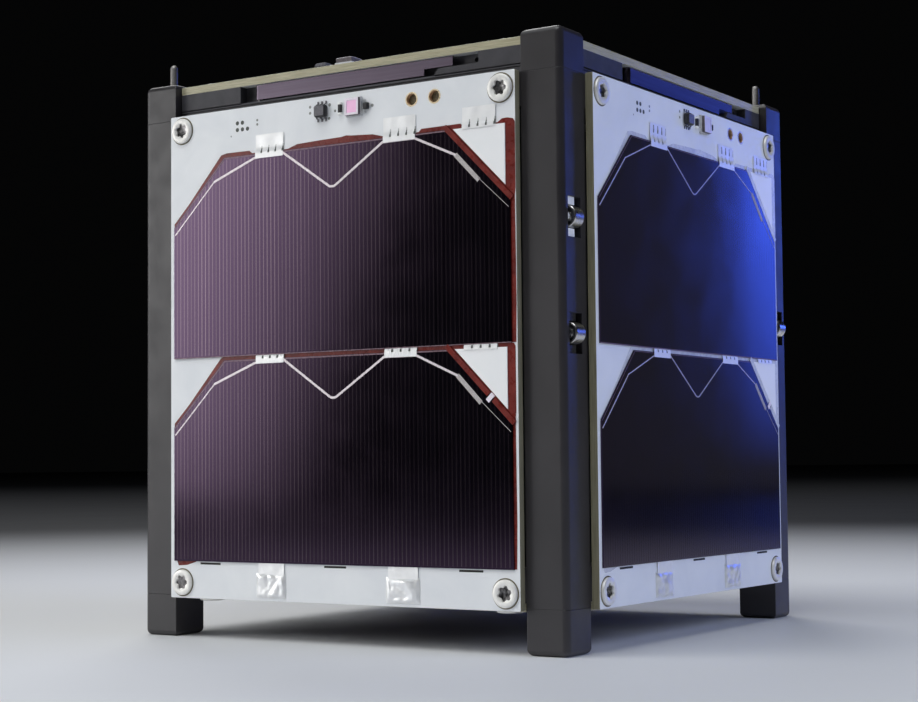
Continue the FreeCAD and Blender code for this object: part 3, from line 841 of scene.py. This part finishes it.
SUN_BASE_H = 0.55
SUN_BASE_OUT = 0.2            # base past the body, all round
SUN_RIM = 0.5                 # frame round the window
SUN_POCKET = 0.12             # window under the frame
CHIP_CUT = 0.3                # corners of the heat sensor
LEG_PITCH, LEG_W, LEG_T = 0.95, 0.34, 0.13
LEG_UP = 0.42                 # where a leg starts, as a share of the chip's height
LEG_DOWN = 0.07               # height of its foot


def sun_sensor(s, panel):
    """Pale base, a body drawn dark as painted shade under the frame, and on it a white frame with
    the window set into it.

    On the right panel the frame and the window are drawn in one violet tone: painted blue light on
    the white frame and the pink window.
    """
    blue_lit_sensor = panel.name == "right"
    (u0, u1), (v0, v1), (_, rise) = node_span(panel, "sun_sensors")
    base = [(u0, v0), (u1, v0), (u1, v1), (u0, v1)]
    s.prism(base, [(0.0, 0), (SUN_BASE_H - 0.06, 0), (SUN_BASE_H, 0.06)], "base")
    body = inset(base, SUN_BASE_OUT)
    s.prism(body, [(SUN_BASE_H - 0.05, 0), (rise - 0.06, 0)], "waist_painted_shade", (True, False))
    rim = [(rise - 0.06, 0), (rise - 0.04, 0), (rise, 0.05), (rise, SUN_RIM - 0.04),
           (rise - SUN_POCKET, SUN_RIM)]
    s.prism(body, rim, "blue_lit_sensor" if blue_lit_sensor else "white", (False, False))
    edge, pocket = SUN_BASE_OUT + SUN_RIM - 0.02, rise - SUN_POCKET
    s.block(u0 + edge, u1 - edge, v0 + edge, v1 - edge, pocket - 0.1, pocket + 0.04,
            "blue_lit_sensor" if blue_lit_sensor else "window", 0.03)
    for v in (v0 + 0.25, v1 - 0.95):
        for a, b in ((u0 - 0.2, u0 + 0.05), (u1 - 0.05, u1 + 0.2)):
            s.block(a, b, v, v + 0.7, 0.0, 0.25, "solder", 0.05)


def heat_sensor(s, panel):
    """Small-outline chip with its corners cut and three bent legs along each long side."""
    (u0, u1), (v0, v1), (_, rise) = node_span(panel, "heat_sensors")
    a0, a1, b0, b1 = u0 + CHIP_CUT, u1 - CHIP_CUT, v0 + CHIP_CUT, v1 - CHIP_CUT
    body = [(a0, v0), (a1, v0), (u1, b0), (u1, b1), (a1, v1), (a0, v1), (u0, b1), (u0, b0)]
    # The top, and on the top and bottom boards the walls too, take the lighter grey: painted light
    # on a black chip.
    s.prism(body, [(0.12, 0.1), (rise * 0.45, 0), (rise - 0.35, 0.04), (rise - 0.02, 0.26)],
            "chip" if panel.side else "chip_lit_top")
    s.prism(body, [(rise - 0.03, 0.25), (rise, 0.28)], "chip_lit_top")
    mark = [(0.2, rise - 0.02), (0.2, rise + 0.005), (0.12, rise - 0.01)]
    s.turned((u0 + 0.8, v1 - 0.8), mark, 16, "hole")
    up = rise * LEG_UP
    for step in (-1, 0, 1):
        u = (u0 + u1) / 2 + step * LEG_PITCH
        for out, v in ((1, v1 - 0.1), (-1, v0 + 0.1)):
            leg(s, u, [(v, up), (v + out * 0.25, up), (v + out * 0.42, LEG_DOWN),
                       (v + out * 0.9, LEG_DOWN)])


def leg(s, u, path):
    """Bent leg across the board: points of (v, w), seen from the side."""
    outline = widened(path, LEG_T)
    s.rings([[(u + d, v, w) for v, w in outline] for d in (-LEG_W / 2, LEG_W / 2)], "dark_steel")


def small_parts(panel):
    """Sun sensor, heat sensor, a capacitor with tinned ends and a three-legged part."""
    s = Sketch("white", "window", "blue_lit_sensor", "chip", "solder", "hole", "base", "waist_painted_shade", "chip_lit_top",
               "dark_steel", "white_with_painted_glint")
    sun_sensor(s, panel)
    heat_sensor(s, panel)
    (u0, u1), (v0, v1), _ = node_span(panel, "sun_sensors")
    middle = (v0 + v1) / 2
    s.block(u0 - 1.92, u0 - 1.18, middle - 0.75, middle + 0.85, 0.0, 0.52, "chip", 0.08)
    # Tinned ends of the capacitor, drawn near white: bright metal with a painted glint.
    for v in (middle - 1.15, middle + 0.8):
        s.block(u0 - 1.95, u0 - 1.15, v, v + 0.45, 0.0, 0.56, "white_with_painted_glint", 0.12)
    s.block(u1 + 0.5, u1 + 1.6, middle - 0.7, middle + 0.5, 0.0, 0.75, "chip", 0.16)
    for a, v in ((u1 + 0.35, middle + 1.0), (u1 + 0.45, middle - 1.2), (u1 + 1.7, middle)):
        s.block(a, a + 0.4, v - 0.28, v + 0.28, 0.0, 0.2, "solder", 0.05)
    obj = panel.piece(s, "small_parts", "chip")
    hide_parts("sun_sensors", "heat_sensors")


panels = [Panel(*row) for row in PANELS]
for panel in panels:
    for make in (cell_lines, cell_tape, foil_tabs, solder_pads, screws, plated_parts, small_parts):
        make(panel)


# ---------------------------------------------------------------- rollers, plungers

BEARING_EDGE, BEARING_RING = 0.12, 0.48       # chamfer and thickness of the outer ring
HUB_R, HUB_EDGE, HUB_BORE = 1.02, 0.94, 0.56
TIP_ANGLES = (10, 25, 40, 55, 70, 82)         # points of a plunger's round tip, in degrees
BUSH_IN, BUSH_OUT = 0.1, 0.5                  # from the plunger's radius


def upright(point):
    return Matrix.Translation(point) @ Matrix.Scale(MM, 4)


def bearings():
    """Ball bearings as rollers: ring, shield and hub, turned about Y."""
    lay = Matrix.Rotation(math.radians(-90), 4, "X")
    for k in (1, 2, 3):
        low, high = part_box(f"switch_roller_{k}")
        half, r = (high.y - low.y) / MM / 2, (high.z - low.z) / MM / 2
        groove, edge = r - BEARING_RING, BEARING_EDGE
        s = Sketch("steel", "dark_steel")
        outer = [(r - edge, -half), (r, edge - half), (r, half - edge), (r - edge, half),
                 (groove + 0.06, half), (groove, half - 0.16), (groove, half - 0.3),
                 (groove, 0.3 - half), (groove, 0.16 - half), (groove + 0.06, -half)]
        s.turned((0, 0), outer, ROUND, "steel", loop=True)
        shield = [(groove + 0.02, 0.22 - half), (groove + 0.02, half - 0.22),
                  (HUB_R - 0.02, half - 0.26), (HUB_R - 0.02, 0.26 - half)]
        s.turned((0, 0), shield, ROUND, "dark_steel", loop=True)
        hub = [(HUB_R, 0.04 - half), (HUB_R, half - 0.04), (HUB_EDGE, half), (HUB_BORE, half),
               (HUB_BORE, -half), (HUB_EDGE, -half)]
        s.turned((0, 0), hub, 36, "steel", loop=True)
        place = Matrix.Translation((low + high) / 2) @ lay @ Matrix.Scale(MM, 4)
        obj = s.piece(f"bearing_{k}", place, f"roller_{k}", "steel")
        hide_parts(f"switch_roller_{k}")


def plunger_pins():
    """Turned pins with a round tip, each in a bush on its foot."""
    for where in ("front_left", "rear_right"):
        low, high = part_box("separation_plunger_" + where)
        centre = Vector(((low.x + high.x) / 2, (low.y + high.y) / 2, 0))
        r = (high.x - low.x) / MM / 2
        top, base = high.z / MM, low.z / MM
        tip = [(r * math.cos(a), top - r + r * math.sin(a)) for a in map(math.radians, TIP_ANGLES)]
        s = Sketch("plunger")
        s.turned((0, 0), [(r - 0.1, base), (r, base + 0.1), (r, top - r)] + tip, 32)
        obj = s.piece("plunger_pin_" + where, upright(centre), "plunger_" + where, "steel")
        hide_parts("separation_plunger_" + where)
        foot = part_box("top_foot_" + where)[1].z / MM
        bush = [(r + BUSH_IN, foot - 1), (r + BUSH_IN, foot + 0.12),
                (r + BUSH_OUT - 0.08, foot + 0.12), (r + BUSH_OUT, foot + 0.02),
                (r + BUSH_OUT, foot - 1)]
        s = Sketch("dark_steel")
        s.turned((0, 0), bush, 32, loop=True)
        s.piece("plunger_bush_" + where, upright(centre), "bus", "black_anodised")


bearings()
plunger_pins()


# ---------------------------------------------------------------- finishes of the CAD nodes

# Part of a node's name, its material and the width of its broken edges; the first that fits counts.
FINISHES = (("solar_cells", "cell", 0),
            ("front_board", "board_y", 0.08), ("rear_board", "board_y", 0.08),
            ("left_board", "board_x", 0.08), ("right_board", "board_x", 0.08),
            ("_board", "board_z", 0.08),
            ("antenna_tape", "violet_sheen_steel", 0), ("antenna_frame", "frame", 0.08),
            # The first roller's bracket is drawn near white and the others dark steel: painted
            # highlight on one of the same brackets.
            ("switch_bracket_1", "white_with_painted_glint", 0.06), ("switch_bracket", "dark_steel", 0.06),
            ("bypass_diodes", "diode", 0.05), ("avionics_stack", "stack", 0),
            ("foot", "anodised", 0.12), ("side_frame", "anodised", 0.12),
            ("rib", "anodised", 0.08), ("", "steel", 0))


def soften(obj, width):
    """Broken edges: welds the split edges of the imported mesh, joins its flat faces, bevels."""
    weld = obj.modifiers.new("weld", "WELD")
    weld.merge_threshold = 2e-6
    flat = obj.modifiers.new("flat", "DECIMATE")
    flat.decimate_type = "DISSOLVE"
    flat.angle_limit = math.radians(0.5)
    bevel = obj.modifiers.new("bevel", "BEVEL")
    bevel.width = width * MM
    bevel.segments = 2
    bevel.limit_method = "ANGLE"
    bevel.angle_limit = math.radians(30)
    bevel.use_clamp_overlap = True
    obj.modifiers.new("normals", "WEIGHTED_NORMAL").keep_sharp = False


for name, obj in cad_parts.items():
    _, material, edge = next(row for row in FINISHES if row[0] in name)
    obj.data.materials.clear()
    obj.data.materials.append(MATERIALS[material])
    if edge:
        soften(obj, edge)


# ---------------------------------------------------------------- floor, light, surroundings

FLOOR_RINGS = (0.3, 1, 3, 9)  # radii, in metres
FLOOR_SIDES = 64
FLOOR_POOL_EDGE = (0.12, 0.68)     # distance from the middle over which the floor's painted pool of light turns dark
MIDDLE = (0, 0, 0.06)         # what the lights aim at
WORLD_COLOUR, WORLD_STRENGTH = (0.92, 0.95, 1.0, 1), 0.0015


def stage_sheet():
    """Wide pale floor with a painted pool of light round the object: its colour turns dark further
    out.
    """
    s = Shader("pale_floor", Specular_IOR_Level=0.25)
    tone = s.blend(s.ramp(s.grain(220, detail=2), 0, 1), (0.692, 0.697, 0.705),
                   (0.708, 0.712, 0.720))
    away = s.node("ShaderNodeVectorMath", operation="LENGTH")
    s.link(s.where, away.inputs[0])
    far = s.ramp(away.outputs["Value"], 0, 1, FLOOR_POOL_EDGE, "SMOOTHSTEP")
    # Painted pool of light: the floor's colour goes from pale to near black with distance.
    s.colour(s.blend(far, tone, (0.030, 0.031, 0.033)))
    s.rough(s.ramp(s.grain(60), 0.50, 0.53))
    s.bump(s.grain(3), 0.004)
    n = FLOOR_SIDES
    angles = [2 * math.pi * i / n for i in range(n)]
    verts = [(r * math.cos(a), r * math.sin(a), 0) for r in FLOOR_RINGS for a in angles]
    faces = [tuple(range(n))]
    for a in range(0, n * (len(FLOOR_RINGS) - 1), n):
        faces += [(a + i, a + n + i, a + n + (i + 1) % n, a + (i + 1) % n) for i in range(n)]
    mesh = bpy.data.meshes.new("floor")
    mesh.from_pydata(verts, [], faces)
    mesh.materials.append(s.mat)
    floor = bpy.data.objects.new("floor", mesh)
    bpy.context.scene.collection.objects.link(floor)


def feather(data, ramps):
    """Fades a light over its face: rows of axis, where the ramp is 0 and where it is 1."""
    data.use_nodes = True
    tree = data.node_tree
    lamp = tree.nodes["Emission"]
    place = tree.nodes.new("ShaderNodeNewGeometry")
    parts = tree.nodes.new("ShaderNodeSeparateXYZ")
    tree.links.new(place.outputs["Parametric"], parts.inputs[0])
    whole = None
    for axis, dark, full in ramps:
        n = tree.nodes.new("ShaderNodeMapRange")
        n.inputs[1].default_value, n.inputs[2].default_value = dark, full
        tree.links.new(parts.outputs[axis], n.inputs[0])
        if whole:
            both = tree.nodes.new("ShaderNodeMath")
            both.operation = "MULTIPLY"
            tree.links.new(whole, both.inputs[0])
            tree.links.new(n.outputs[0], both.inputs[1])
            whole = both.outputs[0]
        else:
            whole = n.outputs[0]
    tree.links.new(whole, lamp.inputs["Strength"])


def area_light(name, at, size, power, colour=(1, 1, 1), aim=MIDDLE, ramps=None, roll=0,
               mirrored=True):
    data = bpy.data.lights.new(name, "AREA")
    data.shape = "RECTANGLE"
    data.size, data.size_y = size
    data.energy = power
    data.color = colour
    if ramps:
        feather(data, ramps)
    light = bpy.data.objects.new(name, data)
    light.location = at
    light.visible_camera = False
    light.visible_glossy = mirrored
    light.rotation_mode = "QUATERNION"
    turn = (Vector(aim) - Vector(at)).to_track_quat("-Z", "Y")
    light.rotation_quaternion = turn @ Quaternion((0, 0, 1), math.radians(roll))
    bpy.context.scene.collection.objects.link(light)


def ring(azimuth, distance, height):
    """Point round the object: azimuth 0 is the front (-Y), 90 the right (+X)."""
    a = math.radians(azimuth)
    return (math.sin(a) * distance, -math.cos(a) * distance, height)


stage_sheet()
# From the front left: the sheen that the front cells mirror, and soft light that they don't.
LEFT_AT, LEFT_SIZE, LEFT_ROLL = ring(-50.5, 1.30, 0.46), (0.92, 0.84), -13
area_light("sheen_left", LEFT_AT, LEFT_SIZE, 9.8, roll=LEFT_ROLL,
           ramps=((0, 1.0, 0.76), (1, -0.30, 0.12), (1, 0.60, 0.44)))
area_light("soft_left", LEFT_AT, LEFT_SIZE, 11.6, roll=LEFT_ROLL, mirrored=False,
           ramps=((0, 1.0, 0.76), (1, 0.48, 0.62)))
area_light("overhead", (-0.05, -0.70, 1.4), (1.2, 1.0), 14.6, (0.95, 0.985, 1.0))
# From the right: pale blue light on the board, and the blue lamp that the right cells mirror.
area_light("fill_right", ring(102, 1.6, 0.8), (1.2, 1.1), 14.8, (0.60, 0.69, 1.0), mirrored=False)
area_light("rear_right", (0.48, 1.41, 0.22), (0.35, 0.40), 2.7, (0.045, 0.13, 1.0),
           aim=(0.05, 0.03, 0.22), ramps=((1, 0.02, 0.62),))
area_light("rear_glow", ring(150, 1.9, 0.25), (1.0, 0.9), 0.29, (0.8, 0.85, 1.0))
area_light("rear_left", ring(-135, 1.5, 1.5), (0.9, 0.9), 12)

world = bpy.data.worlds.new("studio")
world.use_nodes = True
background = world.node_tree.nodes["Background"]
background.inputs["Color"].default_value = WORLD_COLOUR
background.inputs["Strength"].default_value = WORLD_STRENGTH
bpy.context.scene.world = world
bpy.context.scene.view_settings.view_transform = "Standard"
